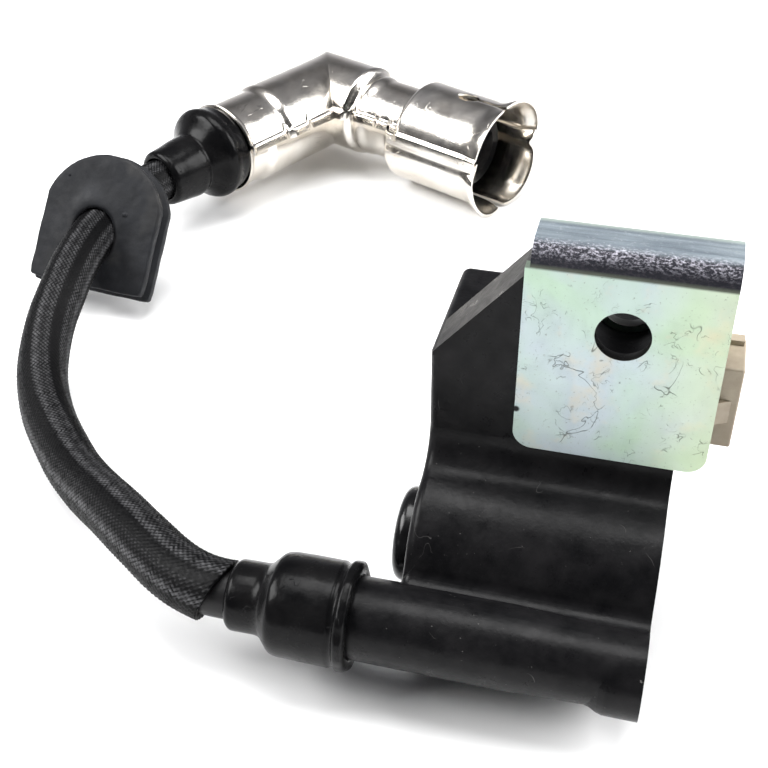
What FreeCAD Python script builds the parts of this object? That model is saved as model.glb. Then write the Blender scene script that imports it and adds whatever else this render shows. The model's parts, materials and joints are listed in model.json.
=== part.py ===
import FreeCAD, Part
import math
import os

# Small-engine ignition coil: a black moulded coil in a steel saddle bracket, with a
# braided high-tension lead, a panel grommet and a metal-shielded right-angle plug cap.
# Millimetres. The origin is the centre of the bracket's bolt hole on the front face.
# +X runs along the bracket to the connector, -Y is the bracket's front, +Z is up.

V = FreeCAD.Vector
X_AXIS = V(1, 0, 0)
Y_AXIS = V(0, 1, 0)
Z_AXIS = V(0, 0, 1)

# Driving dimensions -------------------------------------------------------------
BOLT_HOLE_R = 3.3
PLATE_LEFT, PLATE_RIGHT = -12.1, 12.0
PLATE_BOTTOM = -18.7
PLATE_T = 1.5
BRACKET_TOP = 10.7
BRACKET_DEPTH = 9.0
BRACKET_BEND_R = 2.9
PLATE_CORNER_R = 2.5
STRAP_LEFT, STRAP_RIGHT = -11.5, 12.0
REAR_LEG_BOTTOM = -4.6

BASE_Z = -49.3
BODY_LEFT, BODY_RIGHT = -23.4, 8.4
BODY_FRONT, BODY_BACK = 1.6, 22.8
BODY_TOP = -6.6
WALL = 1.8
WINDING_Y, WINDING_Z, WINDING_R = -0.8, -36.6, 12.7
TOWER_Y, TOWER_Z, TOWER_R = -17.3, -37.0, 5.45
TOWER_LEFT, TOWER_RIGHT = -38.1, 8.4
NECK_GAP = 0.05
TOWER_SPLIT_Y = -13.0
END_EDGE_R = 1.2
BOX_EDGE_R, BASE_EDGE_R, SHOULDER_R = 1.5, 2.5, 5.0
TOWER_TAPER = 0.37
WEB_TUCK = 0.2
SWELL_OFFSET = 0.9
CAP_PLUG_R = 5.55
NECK_BORE_R = 4.2

CORE_R = 5.0
COIL_LEFT, COIL_RIGHT = -20.9, 5.5
PRIMARY_IN_R, PRIMARY_TUBE_R, PRIMARY_R = 5.1, 6.0, 7.4
SECONDARY_IN_R, SECONDARY_TUBE_R, SECONDARY_R = 7.6, 8.4, 10.2
SECONDARY_SLOTS = 5
FLANGE_T = 0.8
COIL_POCKET_R = 10.3

LEAD_R = 3.5
CONDUCTOR_BORE_R, CONDUCTOR_R = 1.0, 0.95
SLEEVE_IN_R, SLEEVE_R = 3.6, 4.3
FIT = 0.05

# The plug cap is a right-angle elbow; distances along its two tubes are counted from
# the elbow's corner, minus towards the lead and plus towards the spark plug.
ELBOW = V(-78.8, 139.8, -37.1)
CAP_ANGLE = 64.5
LEAD_TUBE_DIR = V(math.cos(math.radians(CAP_ANGLE)), math.sin(math.radians(CAP_ANGLE)), 0)
PLUG_TUBE_DIR = V(LEAD_TUBE_DIR.y, -LEAD_TUBE_DIR.x, 0)
SHEET_T = 0.5
CAP_TUBE_R = 10.45
CAP_COLLAR_R = 9.8
CAP_NECK_R = 8.8
BARREL_R = 11.5
LIP_R = 12.15
CAP_START, MOUTH = -35.9, 51.1
UPPER_SHOULDER, LOWER_SHOULDER, SHOULDER_RUN = 26.8, 23.6, 2.3
PINCH = 12.2
PETAL_SLOT_LEN = 10.8
LOWER_TUCK, LOWER_NECK_TUCK = 0.9, 0.3
SEAM_Z = 1.9
SEAL_START = -54.2

# Route of the free lead, from just inside the boot to just inside the cable seal
LEAD_ROUTE = [
    V(-51.8, -17.3, -37.1),
    V(-66.3, -6.2, -38.6),
    V(-83.1, 8.5, -45.2),
    V(-99.2, 27.3, -42.9),
    V(-102.4, 52.5, -34.1),
    V(-104.2, 72.4, -35.8),
]
ROUTE_END = -60.0
TOWER_LEAD_END = -20.0
CAP_LEAD_END = -24.0
SLEEVE_START_X = -47.5
SLEEVE_END = -45.4
GROMMET_ALONG_RUN = 13.0


def along(distance):
    """Point on the lead tube's axis, counted from the elbow's corner."""
    return ELBOW + LEAD_TUBE_DIR * distance


def towards_plug(distance):
    """Point on the plug tube's axis, counted from the elbow's corner."""
    return ELBOW + PLUG_TUBE_DIR * distance


def rod(start, direction, length, radius):
    return Part.makeCylinder(radius, length, start, direction)


def tube(start, direction, length, inner, outer):
    return rod(start, direction, length, outer).cut(rod(start, direction, length, inner))


def block(x0, x1, y0, y1, z0, z1):
    return Part.makeBox(x1 - x0, y1 - y0, z1 - z0, V(x0, y0, z0))


def prism(points, push):
    """Closed polygon swept along push."""
    return Part.Face(Part.makePolygon(points + points[:1])).extrude(push)


def turned(profile, origin, direction):
    """Solid of revolution of (distance, radius) points about a horizontal axis."""
    points = [origin + direction * s + Z_AXIS * r for s, r in profile]
    face = Part.Face(Part.makePolygon(points + points[:1]))
    return face.revolve(origin, direction, 360)


def rounded(solid, radius, chosen):
    """Fillet the edges whose centre passes the test."""
    edges = [e for e in solid.Edges if chosen(e.CenterOfMass)]
    return solid.makeFillet(radius, edges)


def save(name, shape):
    """Write one node, as a single solid or as a group of separate solids."""
    solids = shape.Solids
    out = solids[0] if len(solids) == 1 else Part.makeCompound(solids)
    out.exportStep("parts/%s.step" % name)
    bad = [s for s in solids if not s.isValid()]
    print("%-22s %2d solids %9.1f mm3%s" % (name, len(solids), out.Volume, " INVALID" if bad else ""))


# Bracket ------------------------------------------------------------------------
def mounting_bracket():
    """Saddle of bent sheet: long front plate, top flange and short rear leg."""
    bend_z = BRACKET_TOP - BRACKET_BEND_R
    inner_r = BRACKET_BEND_R - PLATE_T
    back = BRACKET_DEPTH
    width = STRAP_RIGHT - STRAP_LEFT
    strap = block(STRAP_LEFT, STRAP_RIGHT, 0, back, REAR_LEG_BOTTOM, bend_z)
    strap = strap.fuse(block(STRAP_LEFT, STRAP_RIGHT, BRACKET_BEND_R, back - BRACKET_BEND_R,
                             bend_z, BRACKET_TOP))
    hollow = block(STRAP_LEFT, STRAP_RIGHT, PLATE_T, back - PLATE_T, REAR_LEG_BOTTOM - 1, bend_z)
    hollow = hollow.fuse(block(STRAP_LEFT, STRAP_RIGHT, BRACKET_BEND_R, back - BRACKET_BEND_R,
                               bend_z, BRACKET_TOP - PLATE_T))
    for centre_y in (BRACKET_BEND_R, back - BRACKET_BEND_R):
        start = V(STRAP_LEFT, centre_y, bend_z)
        strap = strap.fuse(rod(start, X_AXIS, width, BRACKET_BEND_R))
        hollow = hollow.fuse(rod(start, X_AXIS, width, inner_r))
    strap = strap.cut(hollow)
    plate = block(PLATE_LEFT, PLATE_RIGHT, 0, PLATE_T, PLATE_BOTTOM, bend_z)
    plate = rounded(plate, PLATE_CORNER_R, lambda c: abs(c.z - PLATE_BOTTOM) < 0.01
                    and abs(c.y - PLATE_T / 2) < 0.01)
    bracket = strap.fuse(plate)
    bolt_hole = rod(V(0, -1, 0), Y_AXIS, back + 2, BOLT_HOLE_R)
    return bracket.cut(bolt_hole).removeSplitter()


# Housing ------------------------------------------------------------------------
def web(centre_a, radius_a, centre_b, radius_b, fillet_r, above):
    """Concave fillet, in the YZ plane, in the notch between two circles."""
    reach_a, reach_b = radius_a + fillet_r, radius_b + fillet_r
    dy, dz = centre_b[0] - centre_a[0], centre_b[1] - centre_a[1]
    span = math.hypot(dy, dz)
    base = math.atan2(dz, dy)
    turn = math.acos((reach_a ** 2 + span ** 2 - reach_b ** 2) / (2 * reach_a * span))
    angle = base - turn if above else base + turn
    tip = (centre_a[0] + reach_a * math.cos(angle), centre_a[1] + reach_a * math.sin(angle))
    points = [V(BODY_LEFT, y, z) for y, z in (centre_a, tip, centre_b)]
    length = BODY_RIGHT - BODY_LEFT
    corner = prism(points, X_AXIS * length)
    return corner.cut(rod(V(BODY_LEFT - 1, tip[0], tip[1]), X_AXIS, length + 2, fillet_r))


def moulding():
    """The whole black moulding: box, winding barrel, tower and neck, hollowed and bored."""
    length = BODY_RIGHT - BODY_LEFT
    winding = (WINDING_Y, WINDING_Z)
    tower = (TOWER_Y, TOWER_Z)
    tower_core_r = TOWER_R - TOWER_TAPER - WEB_TUCK
    box = block(BODY_LEFT, BODY_RIGHT, BODY_FRONT, BODY_BACK, BASE_Z, BODY_TOP)
    box = rounded(box, BOX_EDGE_R, lambda c: c.z > BODY_TOP - 0.1 and c.y > BODY_BACK - 0.1)
    box = rounded(box, BASE_EDGE_R, lambda c: abs(c.z - BASE_Z) < 0.01 and c.y > BODY_BACK - 0.1)
    foot = block(BODY_LEFT, BODY_RIGHT, WINDING_Y, BODY_FRONT, BASE_Z, WINDING_Z)
    body = box.fuse(foot)
    body = body.fuse(rod(V(BODY_LEFT, WINDING_Y, WINDING_Z), X_AXIS, length, WINDING_R))
    # the concave run from the winding's barrel up into the box's front face
    rise = math.sqrt((WINDING_R + SHOULDER_R) ** 2 - (BODY_FRONT - SHOULDER_R - WINDING_Y) ** 2)
    centre = (BODY_FRONT - SHOULDER_R, WINDING_Z + rise)
    points = [winding, centre, (BODY_FRONT + 1, centre[1]), (BODY_FRONT + 1, WINDING_Z)]
    shoulder = prism([V(BODY_LEFT, y, z) for y, z in points], X_AXIS * length)
    shoulder = shoulder.cut(rod(V(BODY_LEFT - 1, centre[0], centre[1]), X_AXIS, length + 2, SHOULDER_R))
    body = body.fuse(shoulder)
    for above, fillet_r in ((True, 2.2), (False, 2.0)):
        body = body.fuse(web(winding, WINDING_R, tower, tower_core_r, fillet_r, above))
    body = body.fuse(rod(V(BODY_LEFT, TOWER_Y, TOWER_Z), X_AXIS, length, tower_core_r))
    body = body.removeSplitter()
    left_end = [e for e in body.Edges if e.BoundBox.XMax < BODY_LEFT + 0.01]
    body = body.makeFillet(END_EDGE_R, left_end)
    body = body.fuse(tower_outside())
    body = body.fuse(tower_swell())
    body = body.fuse(neck())
    body = body.cut(cavity(BODY_RIGHT + 1))
    body = body.cut(rod(V(BODY_LEFT - 1, WINDING_Y, WINDING_Z), X_AXIS, 4, CAP_PLUG_R + FIT))
    body = body.cut(rod(V(TOWER_LEFT - 1, TOWER_Y, TOWER_Z), X_AXIS, TOWER_LEAD_END - TOWER_LEFT + 1,
                        LEAD_R + FIT))
    body = body.cut(terminal_space())
    neck_bore = rod(V(0, 0, 0), Y_AXIS, BRACKET_DEPTH + 2, NECK_BORE_R)
    return body.cut(neck_bore).removeSplitter()


def moulding_parts():
    """The moulding in two simple solids: the case, and the tower that runs along its front."""
    whole = moulding()
    case_side = block(BODY_LEFT, TOWER_RIGHT + 1, TOWER_SPLIT_Y, BODY_BACK + 1, BASE_Z - 1, BRACKET_TOP)
    return whole.common(case_side), whole.cut(case_side)


def tower_outside():
    """Turned outside of the tower, with a slight taper towards the right end."""
    taper_start, taper_end, chamfer = -8.1, 1.9, 0.5
    slim = TOWER_R - TOWER_TAPER
    profile = [
        (TOWER_LEFT, 0), (TOWER_LEFT, TOWER_R - chamfer), (TOWER_LEFT + chamfer, TOWER_R),
        (taper_start, TOWER_R), (taper_end, slim), (TOWER_RIGHT, slim), (TOWER_RIGHT, 0),
    ]
    return turned(profile, V(0, TOWER_Y, TOWER_Z), X_AXIS)


def tower_swell():
    """Rise on the tower's lower front side, near the right end."""
    start, crest = 1.6, 4.1
    slim = TOWER_R - TOWER_TAPER
    lean_y, lean_z = 0.61, 0.79
    profile = [
        (start, 0), (start, slim - SWELL_OFFSET), (start + 0.8, slim - SWELL_OFFSET * 0.76),
        (start + 1.7, slim - SWELL_OFFSET * 0.24), (crest, slim), (TOWER_RIGHT, slim), (TOWER_RIGHT, 0),
    ]
    axis_y, axis_z = TOWER_Y - SWELL_OFFSET * lean_y, TOWER_Z - SWELL_OFFSET * lean_z
    return turned(profile, V(0, axis_y, axis_z), X_AXIS)


def neck():
    """Upright tongue between the bracket's legs, with a sloping left shoulder."""
    top = BRACKET_TOP - PLATE_T - NECK_GAP
    low = BODY_TOP - 1
    left = BODY_LEFT + 0.3
    front, back, thin_back = BODY_FRONT, 8.6, BRACKET_DEPTH - PLATE_T - NECK_GAP
    outline = [(left, low), (left, BODY_TOP - 0.5), (-12.6, 5.3), (-11.4, 6.5), (-10.0, 7.7),
               (-8.4, 8.6), (-6.6, top), (BODY_RIGHT, top), (BODY_RIGHT, low)]
    whole = prism([V(x, front, z) for x, z in outline], Y_AXIS * (back - front))
    inside_bracket = block(STRAP_LEFT - 0.5, BODY_RIGHT + 1, thin_back, back + 1, BODY_TOP, top + 1)
    whole = whole.cut(inside_bracket)
    # the tongue's upper edges are rounded to sit inside the bracket's bends
    bend_z = BRACKET_TOP - BRACKET_BEND_R
    for centre_y, y0, y1 in ((BRACKET_BEND_R, 0, BRACKET_BEND_R),
                             (BRACKET_DEPTH - BRACKET_BEND_R, BRACKET_DEPTH - BRACKET_BEND_R, back + 1)):
        corner = block(STRAP_LEFT - 0.5, BODY_RIGHT + 1, y0, y1, bend_z, top + 1)
        corner = corner.cut(rod(V(BODY_LEFT, centre_y, bend_z), X_AXIS, 40,
                                BRACKET_BEND_R - PLATE_T - NECK_GAP))
        whole = whole.cut(corner)
    return whole


def cavity(right):
    """Space inside the walls, open at the right end for potting."""
    left = BODY_LEFT + WALL
    space = rod(V(left, WINDING_Y, WINDING_Z), X_AXIS, right - left, WINDING_R - WALL)
    box = block(left, right, BODY_FRONT + WALL, BODY_BACK - WALL, BASE_Z + WALL, BODY_TOP - WALL)
    return space.fuse(box)


def terminal_space():
    """Bores for the tower terminal and for its link to the secondary winding."""
    disc = rod(V(TOWER_LEAD_END - 0.5, TOWER_Y, TOWER_Z), X_AXIS, 2.6, 3.1)
    return disc.fuse(link_rod(0.65))


def link_rod(radius):
    start = V(TOWER_LEAD_END + 1.0, TOWER_Y + 2.0, TOWER_Z)
    return rod(start, Y_AXIS, WINDING_Y - WINDING_R + WALL - TOWER_Y - 2.0 + 0.4, radius)


def core_end_cap():
    """Domed black plug that closes the core's end of the case."""
    head_r, head_t = 6.65, 3.0
    left = BODY_LEFT - head_t
    head = rod(V(left, WINDING_Y, WINDING_Z), X_AXIS, head_t, head_r)
    head = rounded(head, 1.4, lambda c: abs(c.x - left) < 0.01)
    return head.fuse(rod(V(BODY_LEFT, WINDING_Y, WINDING_Z), X_AXIS, WALL, CAP_PLUG_R))


# Windings -----------------------------------------------------------------------
def coil_axis(x):
    return V(x, WINDING_Y, WINDING_Z)


def iron_core():
    return rod(coil_axis(BODY_LEFT + WALL + 0.1), X_AXIS, COIL_RIGHT - BODY_LEFT - WALL - 0.1, CORE_R)


def bobbin(inner, tube_r, flange_r, flanges):
    """Tube with evenly spaced flanges."""
    body = rod(coil_axis(COIL_LEFT), X_AXIS, COIL_RIGHT - COIL_LEFT, tube_r)
    pitch = (COIL_RIGHT - COIL_LEFT - FLANGE_T) / (flanges - 1)
    for i in range(flanges):
        body = body.fuse(rod(coil_axis(COIL_LEFT + i * pitch), X_AXIS, FLANGE_T, flange_r))
    return body.cut(rod(coil_axis(COIL_LEFT - 1), X_AXIS, COIL_RIGHT - COIL_LEFT + 2, inner))


def winding_rings(inner, outer, slots):
    pitch = (COIL_RIGHT - COIL_LEFT - FLANGE_T) / slots
    rings = []
    for i in range(slots):
        start = COIL_LEFT + FLANGE_T + i * pitch + FIT
        rings.append(tube(coil_axis(start), X_AXIS, pitch - FLANGE_T - 2 * FIT, inner + FIT, outer))
    return Part.makeCompound(rings)


# Connector ----------------------------------------------------------------------
PIN_Z = (-14.4, -9.0)
PIN_Y = 7.5
PIN_LEFT, PIN_RIGHT = 4.4, 13.2
SOCKET_LEFT, SOCKET_RIGHT = 9.6, 14.7
SOCKET_FRONT, SOCKET_BACK = 4.0, 11.1
SOCKET_BOTTOM, SOCKET_TOP = -17.0, -5.1
SOCKET_WALL = 1.2


def connector_housing():
    """Pale socket on the right end, with a latch nose in front and a rib at the rear top."""
    face = BODY_RIGHT + FIT
    shell = block(face, SOCKET_RIGHT, SOCKET_FRONT, SOCKET_BACK, SOCKET_BOTTOM, SOCKET_TOP)
    middle = (face + SOCKET_RIGHT) / 2
    edge_r, rib_t, rib_h = 0.3, 1.5, 0.7
    shell = rounded(shell, edge_r, lambda c: c.x > SOCKET_RIGHT - 0.01 or abs(c.x - middle) < 0.01)
    shell = shell.fuse(block(face, SOCKET_RIGHT - edge_r, SOCKET_BACK - edge_r - rib_t, SOCKET_BACK - edge_r,
                             SOCKET_TOP - 0.5, SOCKET_TOP + rib_h))
    nose = prism([V(SOCKET_LEFT, SOCKET_FRONT, -13.1), V(SOCKET_LEFT, 3.0, -13.1), V(11.4, 2.8, -13.1),
                  V(13.8, SOCKET_FRONT, -13.1)], Z_AXIS * 3.3)
    inner = block(PIN_LEFT + 1.2, face, SOCKET_FRONT + 0.6, SOCKET_BACK - 0.6, SOCKET_BOTTOM + 0.6,
                  BODY_TOP - WALL - 0.2)
    shell = shell.fuse(nose).fuse(inner)
    shell = shell.cut(block(SOCKET_LEFT, SOCKET_RIGHT + 1, SOCKET_FRONT + SOCKET_WALL,
                            SOCKET_BACK - SOCKET_WALL, SOCKET_BOTTOM + SOCKET_WALL, SOCKET_TOP - SOCKET_WALL))
    for z in PIN_Z:
        shell = shell.cut(pin(z))
    return shell.removeSplitter()


def pin(z):
    """Flat blade through the connector's back wall, with a tail in the potting."""
    return block(PIN_LEFT, PIN_RIGHT, PIN_Y - 1.1, PIN_Y + 1.1, z - 0.4, z + 0.4)


def connector_terminals():
    blades = [pin(z) for z in PIN_Z]
    blades[1] = blades[1].fuse(block(PIN_LEFT, 5.5, PIN_Y + 1.0, PIN_Y + 2.4, PIN_Z[1] - 0.4, PIN_Z[1] + 0.4))
    return Part.makeCompound(blades)


def primary_lead_wires():
    """Two wires from the connector's blades down to the primary winding."""
    starts = [V(4.9, PIN_Y - 0.7, PIN_Z[0] - 0.4), V(4.9, PIN_Y + 2.0, PIN_Z[1] - 0.4)]
    ends = [V(6.1, 4.6, -31.2), V(6.1, 7.0, -33.4)]
    wires = []
    for start, end in zip(starts, ends):
        run = end - start
        wires.append(rod(start + run * 0.02, run, run.Length * 0.98, 0.35))
    return Part.makeCompound(wires)


def potting_fill():
    fill = cavity(BODY_RIGHT - 0.5)
    fill = fill.cut(rod(coil_axis(BODY_LEFT), X_AXIS, COIL_RIGHT - BODY_LEFT + 0.4, COIL_POCKET_R))
    fill = fill.cut(link_rod(0.65))
    for shape in (connector_housing(), connector_terminals(), primary_lead_wires()):
        fill = fill.cut(shape)
    return fill


# High-tension side --------------------------------------------------------------
def tower_terminal():
    """Brass cup contact in the tower, with a spike in the lead's conductor bore."""
    disc = rod(V(TOWER_LEAD_END + 0.1, TOWER_Y, TOWER_Z), X_AXIS, 1.8, 3.0)
    spike = rod(V(TOWER_LEAD_END - 7, TOWER_Y, TOWER_Z), X_AXIS, 7.2, 0.9)
    return disc.fuse(spike).cut(link_rod(0.65))


def tower_boot():
    """Rubber boot: rolled rim with a groove, big end, cone, small end on the lead."""
    rim = -28.1
    outer = [
        (rim, 6.7), (rim - 0.5, 7.2), (rim - 1.3, 7.2), (rim - 1.6, 6.75), (rim - 2.0, 6.75),
        (rim - 2.3, 6.85), (-38.0, 6.85), (-38.7, 6.7), (-40.3, 4.95), (-41.0, 4.75),
        (-44.6, 4.75), (-45.1, 4.3),
    ]
    inner = [(-45.1, LEAD_R + FIT), (TOWER_LEFT - FIT, LEAD_R + FIT), (TOWER_LEFT - FIT, TOWER_R + FIT),
             (rim, TOWER_R + FIT)]
    return turned(outer + inner, V(0, TOWER_Y, TOWER_Z), X_AXIS)


def lead_points():
    """Corners of the lead's path: in the tower, along the free route, into the cap."""
    inside_tower = V(TOWER_LEAD_END, TOWER_Y, TOWER_Z)
    return [inside_tower] + LEAD_ROUTE + [along(ROUTE_END), along(CAP_LEAD_END)]


def lead_wire(start_trim, end_trim, radii=None):
    """Straight runs joined by tangent arcs, each arc as large as its runs allow."""
    points = lead_points()
    points[0] = points[0] + (points[1] - points[0]).normalize() * start_trim
    points[-1] = points[-1] - (points[-1] - points[-2]).normalize() * end_trim
    full = lead_points()
    edges = []
    last = points[0]
    for i in range(1, len(points) - 1):
        into = full[i] - full[i - 1]
        out = full[i + 1] - full[i]
        half = into.getAngle(out) / 2
        take = 0.45 * min(into.Length, out.Length)
        begin = full[i] - V(into).normalize() * take
        end = full[i] + V(out).normalize() * take
        radius = take / math.tan(half)
        bisector = (V(out).normalize() - V(into).normalize()).normalize()
        middle = full[i] + bisector * (radius / math.cos(half) - radius)
        edges.append(Part.LineSegment(last, begin).toShape())
        edges.append(Part.Arc(begin, middle, end).toShape())
        last = end
        if radii is not None:
            radii.append(radius)
    edges.append(Part.LineSegment(last, points[-1]).toShape())
    return Part.Wire(edges)


def sweep(wire, radius):
    start = wire.Edges[0].valueAt(wire.Edges[0].FirstParameter)
    tangent = wire.Edges[0].tangentAt(wire.Edges[0].FirstParameter)
    ring = Part.Wire(Part.makeCircle(radius, start, tangent))
    return wire.makePipeShell([ring], True, False)


def lead_tube(end_trim, inner, outer):
    skin = lead_wire(0, end_trim)
    return sweep(skin, outer).cut(sweep(skin, inner))


def braided_sleeve():
    """Braid over the jacket, from beside the boot to inside the cable seal."""
    whole = lead_tube(CAP_LEAD_END - SLEEVE_END, SLEEVE_IN_R, SLEEVE_R)
    return whole.cut(block(SLEEVE_START_X, 0, TOWER_Y - 20, TOWER_Y + 20, TOWER_Z - 20, TOWER_Z + 20))


# Panel grommet ------------------------------------------------------------------
def grommet_place():
    """Centre of the grommet on the lead, and the lead's direction there."""
    near, far = LEAD_ROUTE[-2], LEAD_ROUTE[-1]
    direction = (far - near).normalize()
    return near + direction * GROMMET_ALONG_RUN, direction


def panel_grommet():
    """Arch-topped rubber plate with two flanges, a groove and a hole for the lead."""
    half_width, foot, arch, arch_rise = 11.6, 11.6, 5.0, 9.1
    flange_t, groove_t, groove_depth = 1.85, 1.5, 2.0
    yaw, pitch, roll = math.radians(4.0), math.radians(39.0), math.radians(6.4)
    centre, lead_direction = grommet_place()
    axis = V(-math.sin(yaw) * math.cos(pitch), math.cos(yaw) * math.cos(pitch), -math.sin(pitch))
    level = axis.cross(Z_AXIS).normalize()
    upright = level.cross(axis)
    right = level * math.cos(roll) - upright * math.sin(roll)
    up = level * math.sin(roll) + upright * math.cos(roll)

    def slab(inset, start, thickness):
        base = centre + axis * start
        w, low, high = half_width - inset, foot - inset, arch
        a = base - right * w - up * low
        b = base + right * w - up * low
        c = base + right * w + up * high
        top = base + up * (high + arch_rise - inset)
        d = base - right * w + up * high
        edges = [Part.LineSegment(a, b).toShape(), Part.LineSegment(b, c).toShape(),
                 Part.Arc(c, top, d).toShape(), Part.LineSegment(d, a).toShape()]
        return Part.Face(Part.Wire(edges)).extrude(axis * thickness)

    total = 2 * flange_t + groove_t
    plate = slab(0, -total / 2, flange_t)
    plate = plate.fuse(slab(groove_depth, -total / 2 + flange_t, groove_t))
    plate = plate.fuse(slab(0, total / 2 - flange_t, flange_t))
    return plate.cut(rod(centre - lead_direction * 10, lead_direction, 20, SLEEVE_R + FIT))


# Plug cap -----------------------------------------------------------------------
def mitre_half(lead_side):
    """Big block on one side of the elbow's mitre plane."""
    size = 120.0
    direction = (PLUG_TUBE_DIR - LEAD_TUBE_DIR).normalize()
    diagonal = (LEAD_TUBE_DIR + PLUG_TUBE_DIR).normalize()
    normal = V(diagonal)
    if lead_side:
        normal = normal * -1
    corner = ELBOW - direction * size / 2 - Z_AXIS * size / 2
    points = [corner, corner + direction * size, corner + direction * size + normal * size,
              corner + normal * size]
    return prism(points, Z_AXIS * size)


def shield_form(shrink, tuck, neck_tuck, shoulder):
    """Outer form of one stamping, or its hollow when shrunk by the sheet's thickness."""
    tube_r, collar_r = CAP_TUBE_R - shrink - tuck, CAP_COLLAR_R - shrink - tuck
    neck_r, barrel_r, lip_r = CAP_NECK_R - shrink - neck_tuck, BARREL_R - shrink, LIP_R - shrink
    barrel_start = shoulder + SHOULDER_RUN
    lead_tube_profile = [
        (CAP_START, 0), (CAP_START, collar_r + 0.5), (CAP_START + 1.2, collar_r), (-30.0, collar_r),
        (-28.4, tube_r), (14.0, tube_r), (14.0, 0),
    ]
    plug_tube_profile = [
        (-14.0, 0), (-14.0, tube_r), (PINCH, tube_r), (PINCH + 0.9, tube_r - 0.85 + tuck),
        (PINCH + 1.7, tube_r - 0.85 + tuck), (PINCH + 2.7, neck_r + 0.5), (PINCH + 3.6, neck_r),
        (shoulder, neck_r), (shoulder + 0.6, neck_r + 0.9),
        (barrel_start - 0.8, barrel_r - 0.5), (barrel_start, barrel_r), (MOUTH - 4.0, barrel_r),
        (MOUTH - 1.6, barrel_r + 0.2), (MOUTH, lip_r), (MOUTH, 0),
    ]
    lead_side = turned(lead_tube_profile, ELBOW, LEAD_TUBE_DIR).common(mitre_half(True))
    plug_side = turned(plug_tube_profile, ELBOW, PLUG_TUBE_DIR).common(mitre_half(False))
    return lead_side.fuse(plug_side)


def shield_shell(tuck, neck_tuck, shoulder):
    """One stamping's sheet all round, slotted where the barrel's petals part."""
    shell = shield_form(0, tuck, neck_tuck, shoulder).cut(shield_form(SHEET_T, tuck, neck_tuck, shoulder))
    slot_w, eye_r, reach = 0.9, 1.3, 30.0
    start = towards_plug(MOUTH - PETAL_SLOT_LEN)
    out = PLUG_TUBE_DIR * (PETAL_SLOT_LEN + 1)
    edge = LEAD_TUBE_DIR * (slot_w / 2)
    slot = prism([start - edge, start + edge, start + edge + out, start - edge + out], Z_AXIS * reach)
    shell = shell.cut(slot)
    shell = shell.cut(rod(start, Z_AXIS, reach, eye_r))
    slot.translate(Z_AXIS * -reach)
    return shell.cut(slot)


def shield_halves():
    """Upper and lower stampings, parted on a plane just above the axis."""
    far, gap = 200.0, 0.04
    seam = ELBOW.z + SEAM_Z
    upper = shield_shell(0, 0, UPPER_SHOULDER).common(block(-far, far, -far, far + far, seam + gap, far))
    lower = shield_shell(LOWER_TUCK, LOWER_NECK_TUCK, LOWER_SHOULDER).common(
        block(-far, far, -far, far + far, -far, seam))
    return upper, lower


def cap_insulator():
    """Black plastic elbow inside the shield, bored for the contacts."""
    body_r = CAP_TUBE_R - LOWER_TUCK - SHEET_T - FIT
    neck_r, nose_r = CAP_NECK_R - LOWER_NECK_TUCK - SHEET_T - FIT, 6.5
    lead_side = rod(along(-28.0), LEAD_TUBE_DIR, 42.0, body_r).common(mitre_half(True))
    profile = [(-14.0, 0), (-14.0, body_r), (PINCH - 0.2, body_r), (PINCH + 0.4, neck_r + 0.3),
               (PINCH + 2.4, neck_r), (20.6, neck_r), (20.6, nose_r), (30.0, nose_r), (30.0, 0)]
    plug_side = turned(profile, ELBOW, PLUG_TUBE_DIR).common(mitre_half(False))
    solid = lead_side.fuse(plug_side)
    bore = 3.6
    solid = solid.cut(rod(along(-28.5), LEAD_TUBE_DIR, 28.5 + bore, bore))
    return solid.cut(rod(towards_plug(-bore), PLUG_TUBE_DIR, 34 + bore, bore))


def cap_cable_seal():
    """Rubber neck on the sleeve, swelling to a bell that closes the shield."""
    plug_r = 8.3
    outer = [(SEAL_START, 5.0), (SEAL_START + 0.8, 5.6), (-49.0, 5.7), (-46.5, 6.3), (-44.0, 8.0),
             (-42.3, 9.9), (-41.0, 10.6), (-40.0, 10.7), (-37.2, 10.4), (-36.3, 10.1), (-35.95, 9.6),
             (-35.95, plug_r), (-28.1, plug_r)]
    inner = [(-28.1, LEAD_R + FIT), (-45.0, LEAD_R + FIT), (-45.0, SLEEVE_R + FIT),
             (SEAL_START, SLEEVE_R + FIT)]
    return turned(outer + inner, ELBOW, LEAD_TUBE_DIR)


def cable_screw():
    """Wood-screw contact: spike in the conductor, shank and head."""
    spike = rod(along(-30.5), LEAD_TUBE_DIR, 8.0, 0.9)
    shank = rod(along(-23.0), LEAD_TUBE_DIR, 11.0, 1.8)
    head = rod(along(-12.5), LEAD_TUBE_DIR, 3.0, 3.2)
    return spike.fuse(shank).fuse(head)


def elbow_contact():
    return rod(along(-9.4), LEAD_TUBE_DIR, 12.6, 3.2)


def cap_spring():
    return tube(towards_plug(3.3), PLUG_TUBE_DIR, 4.6, 2.0, 2.8)


def cap_resistor():
    body = rod(towards_plug(8.0), PLUG_TUBE_DIR, 11.0, 2.6)
    for s in (8.0, 17.4):
        body = body.fuse(rod(towards_plug(s), PLUG_TUBE_DIR, 1.6, 2.9))
    return body


def plug_terminal_clip():
    """Spring cup that snaps on the spark plug's terminal."""
    cup = rod(towards_plug(19.1), PLUG_TUBE_DIR, 9.9, 3.4)
    cup = cup.cut(rod(towards_plug(20.3), PLUG_TUBE_DIR, 12, 2.9))
    slot = block(-0.4, 0.4, -5, 5, 0, 7)
    slot.Placement = FreeCAD.Placement(towards_plug(24.0), FreeCAD.Rotation(Z_AXIS, PLUG_TUBE_DIR))
    return cup.cut(slot)


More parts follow.
